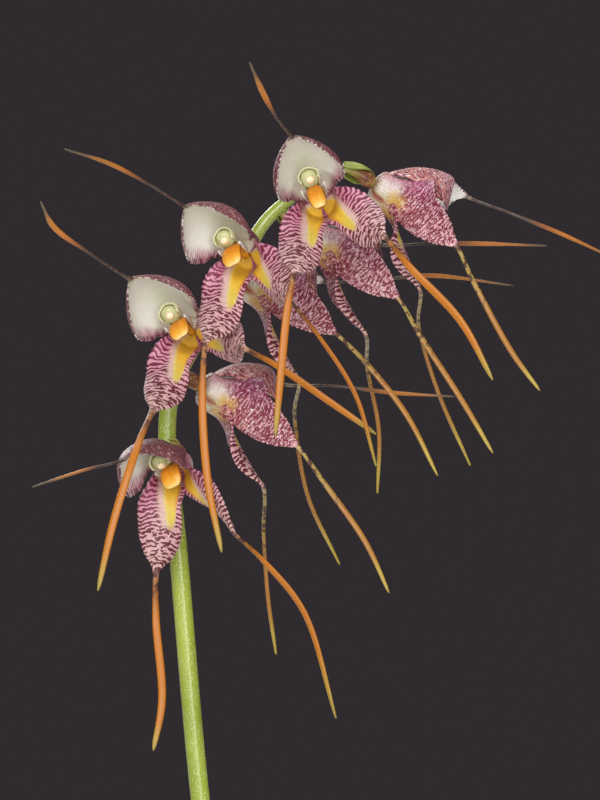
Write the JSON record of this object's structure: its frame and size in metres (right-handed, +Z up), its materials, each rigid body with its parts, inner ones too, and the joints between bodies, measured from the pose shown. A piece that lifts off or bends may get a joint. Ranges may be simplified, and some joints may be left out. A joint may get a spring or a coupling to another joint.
{
  "type": "potted masdevallia orchid",
  "caption": "Orchid in a clay pot of bark: leathery leaves and one arching stalk of spotted flowers, each with a pale hood, striped lower sepals and slender orange tails.",
  "frame": {"origin": "middle of the pot's flat underside", "axes": "+Z up along the pot's axis, -Y towards the viewer of the flower stalk, +X to the right, where the stalk arches"},
  "size_m": [0.1345, 0.1342, 0.3155],
  "materials": {
    "clay": "matt unglazed terracotta",
    "bark": "rough dry bark",
    "leaf": "leathery, slightly shiny",
    "stalk": "fleshy, faintly glistening",
    "sepal": "fleshy, finely glistening, dark red bars and spots on pale pink, orange tails",
    "column": "waxy",
    "lip": "fleshy"
  },
  "bodies": {
    "root": {"clay_pot": "clay", "bark_chips": "bark", "leaf_01": "leaf", "leaf_02": "leaf", "leaf_03": "leaf", "leaf_04": "leaf", "leaf_05": "leaf", "leaf_06": "leaf", "leaf_07": "leaf", "leaf_08": "leaf", "leaf_09": "leaf", "leaf_10": "leaf", "leaf_11": "leaf", "leaf_12": "leaf", "flower_1_sepals": "sepal", "flower_1_column": "column", "flower_1_lip": "lip", "flower_2_sepals": "sepal", "flower_2_column": "column", "flower_2_lip": "lip", "flower_3_sepals": "sepal", "flower_3_column": "column", "flower_3_lip": "lip", "flower_4_sepals": "sepal", "flower_4_column": "column", "flower_4_lip": "lip", "flower_5_sepals": "sepal", "flower_5_column": "column", "flower_5_lip": "lip", "flower_6_sepals": "sepal", "flower_6_column": "column", "flower_6_lip": "lip", "flower_7_sepals": "sepal", "flower_7_column": "column", "flower_7_lip": "lip", "flower_8_sepals": "sepal", "flower_8_column": "column", "flower_8_lip": "lip", "flower_stalk": "stalk"}
  },
  "joints": []
}
